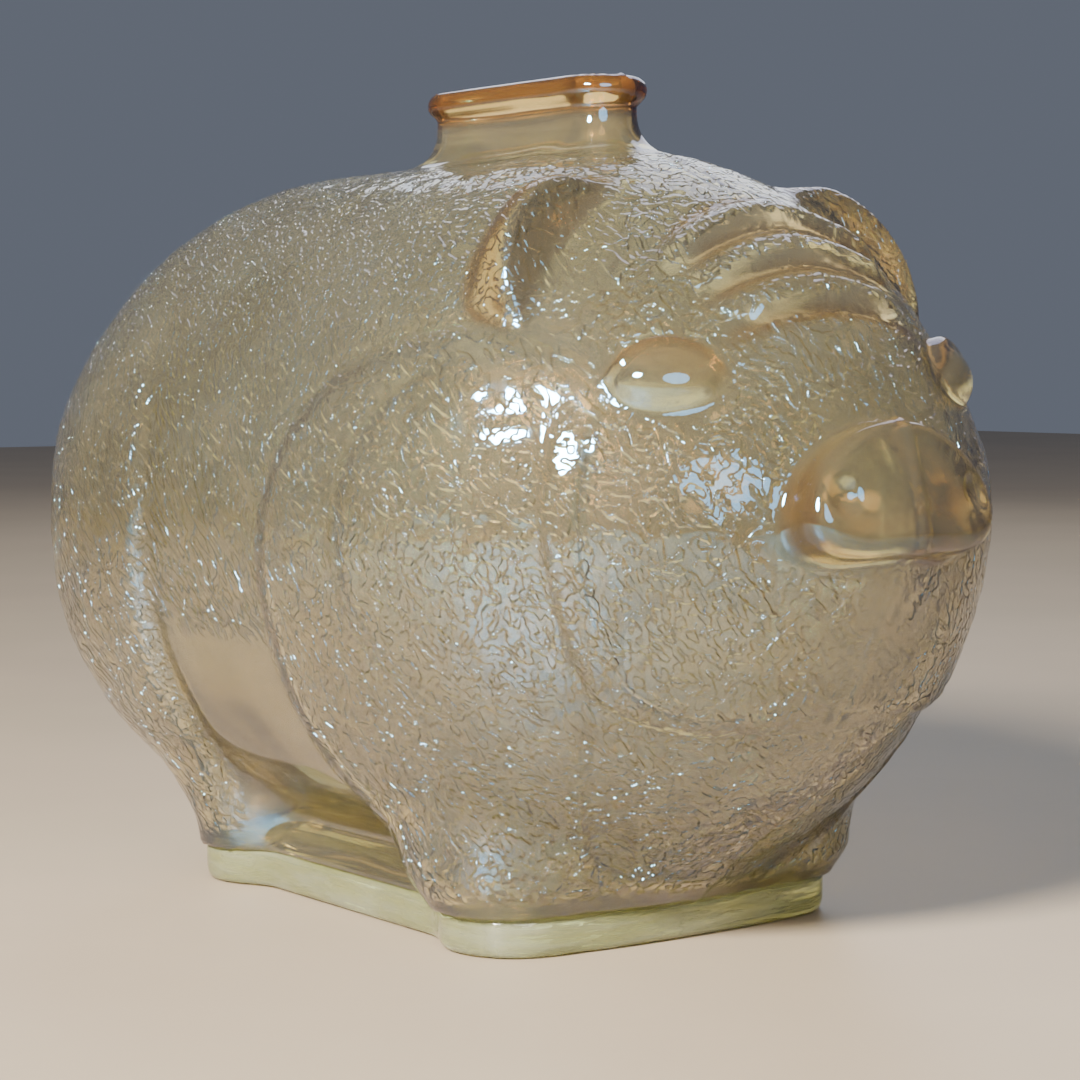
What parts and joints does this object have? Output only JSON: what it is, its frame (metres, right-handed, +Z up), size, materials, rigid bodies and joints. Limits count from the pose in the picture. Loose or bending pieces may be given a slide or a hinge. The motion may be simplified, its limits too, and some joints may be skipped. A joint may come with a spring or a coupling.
{
  "type": "coin bank jar",
  "caption": "Hollow moulded glass jar shaped as a standing pig, with a long narrow beaded mouth in its back for coins and a thick flat base.",
  "frame": {"origin": "on the floor, under the middle of the object's box", "axes": "+Z up; the pig faces -Y; +X is the pig's left side"},
  "size_m": [0.1658, 0.2774, 0.188],
  "materials": {
    "base_glass": "thick clear glass, pale yellow green",
    "body_glass": "straw coloured glass with a lustred, stippled outside and a smooth inside",
    "neck_glass": "smooth polished glass with an amber lustre, deepest in the bead"
  },
  "bodies": {
    "root": {"base": "base_glass", "body_shell": "body_glass", "neck_finish": "neck_glass"}
  },
  "joints": []
}
